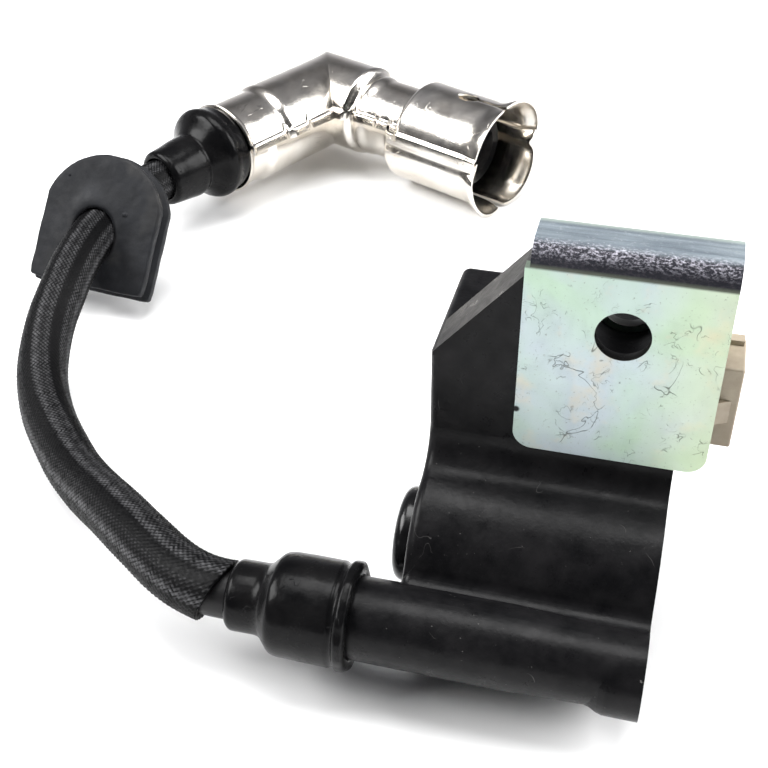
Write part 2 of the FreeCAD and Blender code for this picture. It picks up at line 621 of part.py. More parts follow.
def plug_seal():
    """Rubber sleeve that grips the spark plug's ceramic inside the barrel."""
    profile = [(21.0, 6.5 + FIT), (21.0, 7.8), (40.0, 7.8), (42.5, 8.4), (43.0, 8.1), (43.0, 6.0),
               (41.0, 5.2), (30.1, 5.2), (30.1, 6.5 + FIT)]
    return turned(profile, ELBOW, PLUG_TUBE_DIR)


def main():
    os.makedirs("parts", exist_ok=True)
    radii = []
    path = lead_wire(0, 0, radii)
    print("lead path %.1f mm, arc radii: %s" % (path.Length, ", ".join("%.0f" % r for r in radii)))
    upper, lower = shield_halves()
    case, tower = moulding_parts()
    nodes = {
        "mounting_bracket": mounting_bracket(),
        "coil_housing": case,
        "high_tension_tower": tower,
        "core_end_cap": core_end_cap(),
        "iron_core": iron_core(),
        "primary_bobbin": bobbin(PRIMARY_IN_R, PRIMARY_TUBE_R, PRIMARY_R, 2),
        "primary_winding": winding_rings(PRIMARY_TUBE_R, PRIMARY_R - 0.1, 1),
        "secondary_bobbin": bobbin(SECONDARY_IN_R, SECONDARY_TUBE_R, SECONDARY_R, SECONDARY_SLOTS + 1),
        "secondary_winding": winding_rings(SECONDARY_TUBE_R, SECONDARY_R - 0.2, SECONDARY_SLOTS),
        "potting_fill": potting_fill(),
        "connector_housing": connector_housing(),
        "connector_terminals": connector_terminals(),
        "primary_lead_wires": primary_lead_wires(),
        "tower_terminal": tower_terminal(),
        "secondary_link_wire": link_rod(0.6),
        "tower_boot": tower_boot(),
        "hv_lead": lead_tube(0, CONDUCTOR_BORE_R, LEAD_R),
        "lead_conductor": sweep(lead_wire(7.5, 7.0), CONDUCTOR_R),
        "braided_sleeve": braided_sleeve(),
        "panel_grommet": panel_grommet(),
        "cap_cable_seal": cap_cable_seal(),
        "cap_shield_upper": upper,
        "cap_shield_lower": lower,
        "cap_insulator": cap_insulator(),
        "cable_screw": cable_screw(),
        "elbow_contact": elbow_contact(),
        "cap_spring": cap_spring(),
        "cap_resistor": cap_resistor(),
        "plug_terminal_clip": plug_terminal_clip(),
        "plug_seal": plug_seal(),
    }
    for name, shape in nodes.items():
        save(name, shape)


main()
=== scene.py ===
import json
import math

import bmesh
import bpy
import numpy as np
from mathutils import Matrix, Vector, noise


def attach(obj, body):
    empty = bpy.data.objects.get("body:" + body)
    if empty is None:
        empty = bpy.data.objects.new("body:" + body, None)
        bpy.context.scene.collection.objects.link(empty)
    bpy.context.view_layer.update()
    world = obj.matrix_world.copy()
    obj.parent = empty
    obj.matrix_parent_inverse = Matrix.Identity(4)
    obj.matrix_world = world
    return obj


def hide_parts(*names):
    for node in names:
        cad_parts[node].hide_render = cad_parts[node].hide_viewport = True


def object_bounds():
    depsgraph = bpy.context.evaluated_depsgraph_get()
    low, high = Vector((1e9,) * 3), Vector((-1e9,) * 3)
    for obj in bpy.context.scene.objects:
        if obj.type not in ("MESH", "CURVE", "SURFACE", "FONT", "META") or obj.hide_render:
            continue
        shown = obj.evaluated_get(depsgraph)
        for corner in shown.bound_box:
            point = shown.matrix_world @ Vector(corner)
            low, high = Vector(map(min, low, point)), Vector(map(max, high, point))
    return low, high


# Small-engine ignition coil. Metres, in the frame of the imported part: the origin is the
# bolt hole's centre on the bracket's front face, -Y is the front and +Z is up.
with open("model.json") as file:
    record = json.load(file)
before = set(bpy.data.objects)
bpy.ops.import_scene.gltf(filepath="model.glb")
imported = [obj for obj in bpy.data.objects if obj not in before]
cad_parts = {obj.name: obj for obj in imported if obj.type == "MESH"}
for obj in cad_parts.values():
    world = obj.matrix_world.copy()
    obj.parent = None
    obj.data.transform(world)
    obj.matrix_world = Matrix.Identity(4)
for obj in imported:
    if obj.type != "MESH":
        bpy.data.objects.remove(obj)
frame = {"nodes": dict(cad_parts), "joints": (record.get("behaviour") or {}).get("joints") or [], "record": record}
cad_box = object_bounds()
NODES = frame["nodes"]
JOINTS = {j["name"]: j for j in frame["joints"]}
MM = 0.001
NOISE_SEED = 7
UP = Vector((0, 0, 1))
RIGHT = Vector((1, 0, 0))

# Places read from the frame
ELBOW = Vector(JOINTS["cap_swivel"]["pos_m"])
LEAD_DIR = -Vector(JOINTS["cap_swivel"]["axis"]).normalized()
PLUG_DIR = Vector((LEAD_DIR.y, -LEAD_DIR.x, 0))
GROMMET_AT = Vector(JOINTS["grommet_turn"]["pos_m"])
FLOOR_Z = cad_box[0].z

# vector noise would start from the clock if it were not seeded
noise.seed_set(NOISE_SEED)


def cap_point(distance):
    """Point on the lead tube's axis, in millimetres from the elbow's corner."""
    return ELBOW + LEAD_DIR * distance * MM


# Camera ---------------------------------------------------------------------------
CAMERA_AT = (0.0029, -0.11895, 0.0795)
CAMERA_RIGHT = Vector((0.9649, 0.2523, -0.003))
CAMERA_AHEAD = Vector((-0.2107, 0.7742, -0.5961))
CAMERA_LENS, CAMERA_SENSOR = 56.25, 36.0


def make_camera():
    data = bpy.data.cameras.new("camera")
    data.lens = CAMERA_LENS
    data.sensor_width = CAMERA_SENSOR
    data.clip_start = 0.005
    camera = bpy.data.objects.new("camera", data)
    bpy.context.scene.collection.objects.link(camera)
    right, ahead = CAMERA_RIGHT.normalized(), CAMERA_AHEAD.normalized()
    above = right.cross(ahead)
    turn = Matrix((right, above, -ahead)).transposed()
    camera.matrix_world = Matrix.Translation(CAMERA_AT) @ turn.to_4x4()
    bpy.context.scene.camera = camera


# Lead -----------------------------------------------------------------------------
LEAD_R = 3.5 * MM
SLEEVE_R = 4.2 * MM
TOWER_AXIS = Vector((0, -17.3, -37.0)) * MM
LEAD_POINTS = [
    Vector((-20.0, -17.3, -37.0)) * MM,
    Vector((-41.5, -17.3, -37.0)) * MM,
    Vector((-51.8, -17.3, -37.1)) * MM,
    Vector((-66.3, -6.2, -38.6)) * MM,
    Vector((-83.1, 8.5, -45.2)) * MM,
    Vector((-99.2, 27.3, -42.9)) * MM,
    Vector((-102.4, 52.5, -34.1)) * MM,
    Vector((-104.2, 72.4, -35.8)) * MM,
    cap_point(-60.0),
    cap_point(-48.0),
    cap_point(-24.0),
]


def make_lead():
    """The jacket, one open NURBS spline along the route, and the route's fine points."""
    curve = bpy.data.curves.new("hv_lead_jacket", "CURVE")
    curve.dimensions = "3D"
    curve.resolution_u = 24
    spline = curve.splines.new("NURBS")
    spline.points.add(len(LEAD_POINTS) - 1)
    for point, place in zip(spline.points, LEAD_POINTS):
        point.co = (*place, 1.0)
    spline.order_u = 3
    spline.use_endpoint_u = True
    lead = bpy.data.objects.new("hv_lead_jacket", curve)
    bpy.context.scene.collection.objects.link(lead)
    bpy.context.view_layer.update()
    line = bpy.data.meshes.new_from_object(lead)
    path = np.array([v.co for v in line.vertices])
    bpy.data.meshes.remove(line)
    curve.bevel_depth = LEAD_R
    curve.bevel_resolution = 8
    curve.use_fill_caps = True
    return lead, path


# Mesh helpers ---------------------------------------------------------------------
def new_object(name, verts, faces, smooth=True):
    mesh = bpy.data.meshes.new(name)
    mesh.from_pydata([tuple(v) for v in verts], [], faces)
    mesh.update()
    bm = bmesh.new()
    bm.from_mesh(mesh)
    bmesh.ops.remove_doubles(bm, verts=bm.verts, dist=2e-7)
    bmesh.ops.recalc_face_normals(bm, faces=bm.faces)
    for face in bm.faces:
        face.smooth = smooth
    bm.to_mesh(mesh)
    bm.free()
    piece = bpy.data.objects.new(name, mesh)
    bpy.context.scene.collection.objects.link(piece)
    return piece


def grid_faces(rows, columns, wrap_rows=False, wrap_columns=False, start=0):
    """Quads of a grid whose vertices are numbered row by row."""
    faces = []
    for i in range(rows if wrap_rows else rows - 1):
        for j in range(columns if wrap_columns else columns - 1):
            k, n = (i + 1) % rows, (j + 1) % columns
            faces.append((start + i * columns + j, start + k * columns + j,
                          start + k * columns + n, start + i * columns + n))
    return faces


def rounded_profile(points, radius, steps=4):
    """A (distance, radius) profile with its corners rounded, as a closed list."""
    out = []
    count = len(points)
    for i in range(count):
        before, here, after = (Vector(points[j % count]) for j in (i - 1, i, i + 1))
        into, away = before - here, after - here
        reach = min(radius, into.length * 0.45, away.length * 0.45)
        a, b = here + into.normalized() * reach, here + away.normalized() * reach
        for k in range(steps + 1):
            t = k / steps
            out.append(a * (1 - t) ** 2 + here * 2 * t * (1 - t) + b * t * t)
    return out


def refined(points, step):
    """A closed profile with extra points so that no run is longer than step."""
    out = []
    for a, b in zip(points, points[1:] + points[:1]):
        parts = max(1, math.ceil((b - a).length / step))
        out += [a.lerp(b, k / parts) for k in range(parts)]
    return out


def turned(name, profile, origin, direction, lump=None, around=144):
    """Solid of revolution in millimetres; lump(distance, angle, radius) adds to the radius."""
    side = direction.cross(UP).normalized()
    verts = []
    for s, r in profile:
        for j in range(around):
            angle = 2 * math.pi * j / around
            extra = lump(s, angle, r) if lump else 0.0
            out = side * math.cos(angle) + UP * math.sin(angle)
            verts.append(origin + (direction * s + out * (r + extra)) * MM)
    faces = grid_faces(len(profile), around, wrap_rows=True, wrap_columns=True)
    return new_object(name, verts, faces)


def wave(angle, distance, scale, seed):
    """Smooth unevenness around a turned piece, from -1 to 1."""
    place = Vector((math.cos(angle) * scale, math.sin(angle) * scale, distance * 0.3 + seed))
    return noise.noise(place)


def smooth_step(x, low, high):
    """0 up to low, 1 from high on, and a smooth rise between them."""
    t = min(1.0, max(0.0, (x - low) / (high - low)))
    return t * t * (3 - 2 * t)


def round_edges(piece, width, from_angle):
    """Real rounding, in millimetres, on edges that turn by more than an angle in degrees."""
    bevel = piece.modifiers.new("edges", "BEVEL")
    bevel.width = width * MM
    bevel.segments = 2
    bevel.limit_method = "ANGLE"
    bevel.angle_limit = math.radians(from_angle)


def join_points(piece):
    """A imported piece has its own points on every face; rounding needs them joined."""
    joined = piece.modifiers.new("join", "WELD")
    joined.merge_threshold = 1e-6


# Braided sleeve -------------------------------------------------------------------
SLEEVE_STRANDS = 34
SLEEVE_PITCH = 0.86
SLEEVE_ROWS = 630
SLEEVE_COLUMNS = SLEEVE_STRANDS * 4
LINING_ROWS = 48
SLEEVE_WALL = 0.55
PLAIT_HEIGHT = 0.24
SLEEVE_START_X = -47.4
SLEEVE_END = -45.6
# how far the cut end opens and leans, and the length over which that fades
END_FLARE, END_SLANT, END_FADE = 0.15, 1.9, 6.0
# the route's first points lie along the tower; no point in front of this Y is near the cap
POINTS_BY_TOWER = 200
CAP_SIDE_Y = 0.05


def along(path):
    """Distance of each point of a path from the path's start."""
    return np.concatenate([[0.0], np.cumsum(np.linalg.norm(np.diff(path, axis=0), axis=1))])


def sleeve_rows(path):
    """Distances along the path at which the sleeve's rings lie."""
    gone = along(path)
    by_tower = slice(0, POINTS_BY_TOWER)
    first = np.interp(-SLEEVE_START_X * MM, -path[by_tower, 0], gone[by_tower])
    end_gap = np.abs((np.array(cap_point(SLEEVE_END)) - path) @ np.array(LEAD_DIR))
    last = gone[np.argmin(np.where(path[:, 1] < CAP_SIDE_Y, np.inf, end_gap))]
    return np.linspace(first, last, SLEEVE_ROWS)


def plait(turn, v):
    """Plain weave: height of the yarn over the tube, and how much of it faces out, 0 to 1."""
    u = (turn / (2 * math.pi) * SLEEVE_STRANDS)[None, :]
    right_hand, left_hand = u + v, u - v
    i, j = np.floor(right_hand), np.floor(left_hand)
    on_top = ((i + j) % 2) < 1
    across = np.where(on_top, right_hand - i, left_hand - j)
    run = np.where(on_top, left_hand - j, right_hand - i)
    crown = np.sin(np.pi * across) ** 0.7
    float_rise = 0.55 + 0.45 * np.sin(np.pi * run)
    return PLAIT_HEIGHT * crown * float_rise, crown * float_rise


def make_sleeve(path):
    """Braid relief on a tube that follows the lead, with a slanted open end by the boot."""
    steps = np.linalg.norm(np.diff(path, axis=0), axis=1)
    path = path[np.concatenate([[True], steps > 1e-9])]
    at = sleeve_rows(path)
    gone = along(path)
    centre = np.stack([np.interp(at, gone, path[:, k]) for k in range(3)], 1)
    tangent = np.gradient(centre, axis=0)
    tangent /= np.linalg.norm(tangent, axis=1)[:, None]
    side = np.cross(tangent, np.array([0, 0, 1.0]))
    side /= np.linalg.norm(side, axis=1)[:, None]
    above = np.cross(side, tangent)
    turn = np.linspace(0, 2 * math.pi, SLEEVE_COLUMNS, endpoint=False)
    v = ((at - at[0]) / MM / SLEEVE_PITCH)[:, None]
    relief, facing = plait(turn, v)
    sag = 0.05 * np.sin(v * 0.17 + 0.8) * np.cos(turn + 1.1)[None, :]
    sag = sag + 0.03 * np.sin(v * 0.43 + 2.0 * np.cos(turn)[None, :])
    # the grommet squeezes the sleeve a little
    near_hole = np.linalg.norm(centre - np.array(GROMMET_AT), axis=1)
    squeeze = 1.0 - 0.02 * np.exp(-(near_hole / 0.009) ** 2)
    radius = (SLEEVE_R / MM * squeeze[:, None] - 0.10 + relief + sag) * MM
    ring = side[:, None, :] * np.cos(turn)[None, :, None]
    ring = ring + above[:, None, :] * np.sin(turn)[None, :, None]
    # the cut end by the boot is slanted and opens slightly
    fade = np.exp(-np.linspace(0, (at[-1] - at[0]) / MM / END_FADE, SLEEVE_ROWS))[:, None]
    open_radius = radius + END_FLARE * MM * fade
    lean = END_SLANT * MM * fade * np.sin(turn + 0.5)[None, :]
    outer = centre[:, None, :] + ring * open_radius[:, :, None]
    outer = outer - tangent[:, None, :] * lean[:, :, None]
    # the lining runs back from the far end and closes the tube
    pick = np.linspace(SLEEVE_ROWS - 1, 0, LINING_ROWS).astype(int)
    bore = (open_radius.min(axis=1) - SLEEVE_WALL * MM)[pick]
    lining = centre[pick, None, :] + ring[pick] * bore[:, None, None]
    lining = lining - tangent[pick, None, :] * lean[pick][:, :, None]
    verts = np.concatenate([outer.reshape(-1, 3), lining.reshape(-1, 3)])
    faces = grid_faces(SLEEVE_ROWS + LINING_ROWS, SLEEVE_COLUMNS, wrap_rows=True, wrap_columns=True)
    mesh = bpy.data.meshes.new("braided_sleeve_plait")
    mesh.from_pydata(verts.tolist(), [], faces)
    mesh.update()
    # painted highlights: lighter runs that follow the sleeve's length and lighter yarn crowns, with painted shade
    # between the yarns
    drift = turn[None, :] + 0.12 * np.sin(v * 0.05)
    runs = 0.5 + 0.3 * np.sin(5 * drift + 0.6) + 0.2 * np.sin(11 * drift + 2.0)
    tone = np.concatenate([(facing * runs).ravel(), np.zeros(LINING_ROWS * SLEEVE_COLUMNS)])
    attribute = mesh.attributes.new("tone", "FLOAT", "POINT")
    attribute.data.foreach_set("value", tone.astype(np.float32))
    for polygon in mesh.polygons:
        polygon.use_smooth = True
    piece = bpy.data.objects.new("braided_sleeve_plait", mesh)
    bpy.context.scene.collection.objects.link(piece)
    return piece


# Boot and cable seal --------------------------------------------------------------
def make_boot():
    """Rubber boot with a rolled, slightly torn rim."""
    rim = -28.1
    profile = [
        (rim, 6.65), (rim - 0.35, 7.25), (rim - 1.35, 7.25), (rim - 1.75, 6.72),
        (rim - 2.25, 6.72), (rim - 2.6, 6.95), (-37.7, 6.9), (-38.6, 6.7), (-40.2, 5.0),
        (-41.0, 4.75), (-44.5, 4.75), (-45.1, 4.2), (-45.1, 3.6), (-38.2, 3.6), (-38.2, 5.5),
        (rim, 5.5),
    ]

    def lump(s, angle, r):
        near_rim = smooth_step(s, rim - 1.8, rim - 0.9)
        extra = 0.07 * wave(angle, s, 1.2, 3.0) if r > 4 else 0.0
        extra += near_rim * 0.26 * wave(angle, 0.0, 3.4, 9.0) * (r > 6)
        return extra

    points = refined(rounded_profile(profile, 0.45), 0.8)
    return turned("tower_boot_rubber", points, TOWER_AXIS, RIGHT, lump)


def make_cable_seal():
    """Rubber neck on the sleeve and a bell that closes the shield."""
    profile = [
        (-54.2, 4.5), (-54.2, 5.2), (-53.6, 5.9), (-50.5, 6.2), (-46.0, 6.7), (-44.9, 6.6),
        (-43.6, 7.9), (-41.8, 10.2), (-40.6, 10.75), (-39.6, 10.65), (-38.4, 10.2),
        (-36.9, 10.05), (-36.0, 9.7), (-35.9, 8.2), (-28.1, 8.2), (-28.1, 3.6), (-45.0, 3.6),
        (-45.0, 4.5),
    ]

    def lump(s, angle, r):
        if r < 5:
            return 0.0
        # the bell sits a little high on its neck
        lean = (0.85 * math.sin(angle) - 0.8) * smooth_step(s, -47, -42.0)
        return lean + 0.10 * wave(angle, s, 1.1, 5.0) * smooth_step(s, -54, -50)

    points = refined(rounded_profile(profile, 0.6), 0.8)
    return turned("cap_cable_seal_rubber", points, ELBOW, LEAD_DIR, lump)


# Panel grommet --------------------------------------------------------------------
GROMMET_YAW, GROMMET_PITCH, GROMMET_ROLL = (math.radians(a) for a in (4.0, 39.0, 6.4))
GROMMET_HALF, GROMMET_FOOT, GROMMET_ARCH, GROMMET_RISE = 11.6, 11.6, 5.0, 9.1
FLANGE_T, GROOVE_T, GROOVE_DEPTH = 1.85, 1.5, 2.0
GROMMET_HOLE_R = 4.3
GROMMET_COLUMNS = 220
# the outline lies this far right of the hole, and the rear flange is this much larger
OUTLINE_SHIFT, REAR_GROWTH = 0.7, 0.5
# the front's rise round the hole: its height, where it is highest and how wide it is
LIP_RISE, LIP_R, LIP_WIDTH = 0.75, 4.9, 2.2


def grommet_outline(inset, turn):
    """Point of the arch-topped outline seen from the hole at an angle from the right."""
    w, low, high = GROMMET_HALF - inset, GROMMET_FOOT - inset, GROMMET_ARCH
    rise = GROMMET_RISE - inset
    arch_r = (w * w + rise * rise) / (2 * rise)
    arch_z = high + rise - arch_r
    dx, dz = math.cos(turn), math.sin(turn)
    # where the ray leaves through the arch, a side or the foot
    half = dz * arch_z
    reach = half + math.sqrt(half * half - (arch_z * arch_z - arch_r * arch_r))
    if reach * dz < high:
        reach = min(w / abs(dx) if abs(dx) > 1e-6 else 99, low / -dz if dz < -1e-6 else 99)
    return Vector((dx * reach, dz * reach))


def grommet_section(front, back):
    """(share of the way from hole to outline, depth, inset of the outline), hole to hole."""
    in_front, behind, rear = front + FLANGE_T, back - FLANGE_T, -REAR_GROWTH
    section = [(k / 14, front, 0.0) for k in range(14)]
    section += [(0.975, front, 0.0), (1.0, front + 0.28, 0.0), (1.0, front + FLANGE_T * 0.5, 0.0),
                (1.0, in_front - 0.15, 0.0), (0.99, in_front, 0.1), (1.0, in_front, GROOVE_DEPTH),
                (1.0, in_front + 0.2, GROOVE_DEPTH + 0.2), (1.0, behind - 0.2, GROOVE_DEPTH + 0.2),
                (1.0, behind, GROOVE_DEPTH), (0.99, behind, rear), (1.0, behind + 0.15, rear),
                (1.0, back - FLANGE_T * 0.5, rear), (1.0, back - 0.28, rear), (0.975, back, rear)]
    return section + [(k / 6, back, 0.0) for k in range(5, -1, -1)]


def make_grommet():
    """Two flanges and a groove between them, round a hole that runs along the lead."""
    yaw, pitch, roll = GROMMET_YAW, GROMMET_PITCH, GROMMET_ROLL
    axis = Vector((-math.sin(yaw) * math.cos(pitch), math.cos(yaw) * math.cos(pitch),
                   -math.sin(pitch)))
    level = axis.cross(UP).normalized()
    upright = level.cross(axis)
    right = level * math.cos(roll) - upright * math.sin(roll)
    above = level * math.sin(roll) + upright * math.cos(roll)
    lead = Vector(JOINTS["grommet_turn"]["axis"]).normalized()
    total = 2 * FLANGE_T + GROOVE_T
    front, back = -total / 2, total / 2
    section = grommet_section(front, back)
    turns = [2 * math.pi * j / GROMMET_COLUMNS for j in range(GROMMET_COLUMNS)]
    corner = math.atan2(-GROMMET_FOOT, GROMMET_HALF)
    verts = []
    for share, depth, inset in section:
        for turn in turns:
            out = grommet_outline(inset, turn)
            # the hole runs along the lead, so its place shifts with depth
            ray = Vector((math.cos(turn), math.sin(turn)))
            spot = right * ray.x + above * ray.y
            slope = spot - lead * (spot.dot(lead))
            hole = spot * (GROMMET_HOLE_R / slope.length)
            drift = lead * (depth / lead.dot(axis)) - axis * depth
            edge = right * (out.x + OUTLINE_SHIFT) + above * out.y
            place = (hole + drift).lerp(edge, share)
            lift = 0.0
            if depth < front + 0.3:
                # the rubber is pushed forward round the hole and dished beside it
                reach = place.length
                lip = math.exp(-((reach - LIP_R) / LIP_WIDTH) ** 2)
                lift = -LIP_RISE * lip * (0.55 + 0.45 * ray.y)
                lift += 0.22 * noise.noise(place * 0.16) + 0.05 * noise.noise(place * 0.8)
            wobble = 0.12 * noise.noise(edge * 0.35 + Vector((depth * 0.2, 0, 3))) * share
            place = place * (1 + wobble / max(4.0, place.length))
            # the two lower corners are worn
            near_corner = min(abs(turn - 2 * math.pi - corner), abs(turn - (math.pi - corner)))
            soften = 1.0 - 0.018 * math.exp(-(near_corner / 0.06) ** 2) * share
            verts.append(GROMMET_AT + (place * soften + axis * (depth + lift)) * MM)
    faces = grid_faces(len(section), GROMMET_COLUMNS, wrap_rows=True, wrap_columns=True)
    plate = new_object("panel_grommet_rubber", verts, faces)
    for x, z, size in ((5.6, 3.3, 0.75), (-7.2, 8.8, 0.3)):
        spot = right * x + above * z + axis * (front - 0.05)
        add_pip(plate, GROMMET_AT + spot * MM, size * MM)
    for z, size in ((1.6, 0.25), (-4.4, 0.2), (-7.6, 0.24), (5.4, 0.2)):
        edge = right * (GROMMET_HALF + OUTLINE_SHIFT - 0.05)
        spot = edge + above * z + axis * (back - size * 6)
        add_pip(plate, GROMMET_AT + spot * MM, size * MM)
    return plate


def add_pip(piece, place, size):
    """A small moulding pip, as its own closed lump in the same piece."""
    bm = bmesh.new()
    bm.from_mesh(piece.data)
    made = bmesh.ops.create_icosphere(bm, subdivisions=2, radius=size,
                                      matrix=Matrix.Translation(place))
    for vert in made["verts"]:
        vert.co += Vector(noise.noise_vector(vert.co * 900)) * size * 0.25
        for face in vert.link_faces:
            face.smooth = True
    bm.to_mesh(piece.data)
    bm.free()


# Cap shield -----------------------------------------------------------------------
# millimetres; negative distances run along the lead tube and positive ones along the plug tube
CAP_START, MOUTH = -35.9, 51.1
TUBE_R, COLLAR_R, NECK_R, BARREL_R = 10.45, 9.8, 8.8, 11.5
SEAM_Z = 1.9
SHEET_T = 0.5
LOWER_TUCK, LOWER_NECK_TUCK = 0.88, 0.29
# where each stamping's collar ends and its full tube starts, and where its shoulder is
UPPER_COLLAR, LOWER_COLLAR = (-25.2, -22.8), (-30.4, -28.6)
UPPER_SHOULDER, LOWER_SHOULDER = 26.8, 23.6
# heights of the two edges at the seam, depth of the notches, and how far the lap stands out
UPPER_EDGE, LOWER_EDGE = SEAM_Z - 0.15, SEAM_Z + 0.75
NOTCH_DEPTH, LAP_RISE = 1.5, 0.45
CREASE_LEAN = 1.2
PINCH = 12.2
PLUG_START = 11.6
ROW_STEP = 0.42
LEAD_ROWS = 60
LEAD_END = CAP_START + (LEAD_ROWS - 1) * ROW_STEP
PLUG_ROWS = math.ceil((MOUTH - PLUG_START) / ROW_STEP)
MITRE_ROWS = 26
HALF_COLUMNS = 44
# the four petals, by quarter turn from the front: how far each stands out
PETAL_LENGTH = 5.5
PETAL_STRENGTHS = (0.6, 1.7, 0.9, 1.5)
KEYHOLE_AT, KEYHOLE_HALF, KEYHOLE_WIDTH = 40.4, 2.6, 3.3
# (distance, half width) of the notches between the folded tabs
LEAD_NOTCHES = [(-25.2, 0.55), (-18.4, 0.45)]
PLUG_NOTCHES = [(14.2, 0.7), (21.0, 0.5), (24.9, 0.45)]


def knots(s, table):
    """Smoothly joined values at given distances."""
    for (s0, r0), (s1, r1) in zip(table, table[1:]):
        if s <= s1:
            return r0 + (r1 - r0) * smooth_step(s, s0, s1)
    return table[-1][1]


def petal_flare(s, angle):
    """How far the mouth's four petals stand out; they curl in a little beside the slits."""
    lobe = abs(math.sin(2 * angle)) ** 0.55
    strength = PETAL_STRENGTHS[min(3, int(math.degrees(angle) % 360 // 90))]
    curl = smooth_step(s, MOUTH - PETAL_LENGTH, MOUTH) ** 1.6
    return curl * (strength * lobe * 1.15 - 0.25 * (1 - lobe))


def tube_radius(s, angle, upper):
    """Outer radius of the lead tube, the same at every angle."""
    collar_end, tube_start = UPPER_COLLAR if upper else LOWER_COLLAR
    lead_table = [(CAP_START, COLLAR_R + 0.55), (-35.0, COLLAR_R), (collar_end, COLLAR_R),
                  (tube_start, TUBE_R), (99.0, TUBE_R)]
    return knots(s, lead_table) - (0.0 if upper else LOWER_TUCK)


def plug_radius(s, angle, upper):
    """Outer radius of the plug tube: pinch, neck with a bead, shoulder, barrel and petals."""
    shoulder = UPPER_SHOULDER if upper else LOWER_SHOULDER
    tuck, neck_tuck = (0.0, 0.0) if upper else (LOWER_TUCK, LOWER_NECK_TUCK)
    barrel = BARREL_R
    if not upper:
        barrel -= 0.85 - 0.75 * smooth_step(-math.sin(angle), -0.06, 0.2)
    table = [(-99.0, TUBE_R - tuck), (PINCH, TUBE_R - tuck), (PINCH + 1.4, NECK_R - neck_tuck),
             (PINCH + 2.0, NECK_R - neck_tuck), (PINCH + 3.2, NECK_R + 0.4 - neck_tuck),
             (PINCH + 6.0, NECK_R - neck_tuck), (shoulder, NECK_R - neck_tuck),
             (shoulder + 2.3, barrel), (199.0, barrel)]
    return knots(s, table) + petal_flare(s, angle)


def seam_height(s, on_plug, upper):
    """Height of a stamping's edge above the axis; the upper one has small notched tabs."""
    if not upper:
        return LOWER_EDGE
    height = UPPER_EDGE
    for place, half in (PLUG_NOTCHES if on_plug else LEAD_NOTCHES):
        height += NOTCH_DEPTH * (1 - smooth_step(abs(s - place), half * 0.6, half))
    return height


def lap(gap, upper):
    """The upper stamping's edge is raised over the lower one."""
    if not upper:
        return 0.0
    return LAP_RISE * (1 - smooth_step(gap, 1.6, 2.3))


def shield_rows():
    """The shield's cross sections as (stretch, distance along it or share of it)."""
    rows = [("lead", CAP_START + k * ROW_STEP) for k in range(LEAD_ROWS)]
    rows += [("lead_to_corner", (k + 1) / MITRE_ROWS) for k in range(MITRE_ROWS)]
    rows += [("corner_to_plug", (k + 1) / MITRE_ROWS) for k in range(MITRE_ROWS - 1)]
    rows += [("plug", PLUG_START + k * ROW_STEP) for k in range(PLUG_ROWS)]
    return rows + [("plug", MOUTH)]


def shield_half(name, upper):
    """One stamping as sheet: a half towards the camera and a half away, split by the slits."""
    rows = shield_rows()
    middle = math.pi / 2 if upper else -math.pi / 2
    far_side = math.pi if upper else -math.pi
    verts, faces = [], []
    for near_camera in (True, False):
        start = len(verts)
        for kind, value in rows:
            on_plug = kind in ("corner_to_plug", "plug")
            nominal = {"lead": value, "lead_to_corner": -TUBE_R * (1 - value),
                       "corner_to_plug": value * PLUG_START, "plug": value}[kind]
            radius_of = plug_radius if on_plug else tube_radius
            base_r = radius_of(nominal, 0.0 if near_camera else far_side, upper)
            edge_z = seam_height(nominal, on_plug, upper)
            edge = math.asin(max(-0.99, min(0.99, edge_z / base_r)))
            edge = edge if near_camera else far_side - edge
            slot_half = slot_width(nominal, upper) / 2 / base_r if on_plug else 0.0
            stop = middle - slot_half if near_camera == upper else middle + slot_half
            for j in range(HALF_COLUMNS + 1):
                # columns lie closer together beside the seam
                t = j / HALF_COLUMNS
                t = 0.5 * t + 0.5 * t * t
                angle = edge + (stop - edge) * t
                r = radius_of(nominal, angle, upper)
                if near_camera:
                    r += lap(abs(angle - edge) * r, upper)
                verts.append(shield_point(kind, value, angle, r))
        faces += grid_faces(len(rows), HALF_COLUMNS + 1, start=start)
    piece = new_object(name, verts, faces)
    shell = piece.modifiers.new("sheet", "SOLIDIFY")
    shell.thickness = SHEET_T * MM
    shell.offset = -1.0
    round_edges(piece, width=0.14, from_angle=50)
    return piece


def slot_width(s, upper):
    """Width of the slit between petals; the upper one starts with a keyhole."""
    if upper:
        eye = max(0.0, 1 - ((s - KEYHOLE_AT) / KEYHOLE_HALF) ** 2)
        return max(KEYHOLE_WIDTH * math.sqrt(eye), 0.7 if s > KEYHOLE_AT + 0.1 else 0.0)
    return 0.9 * smooth_step(s, 37.0, 38.0) + 0.8 * smooth_step(s, 44, MOUTH)


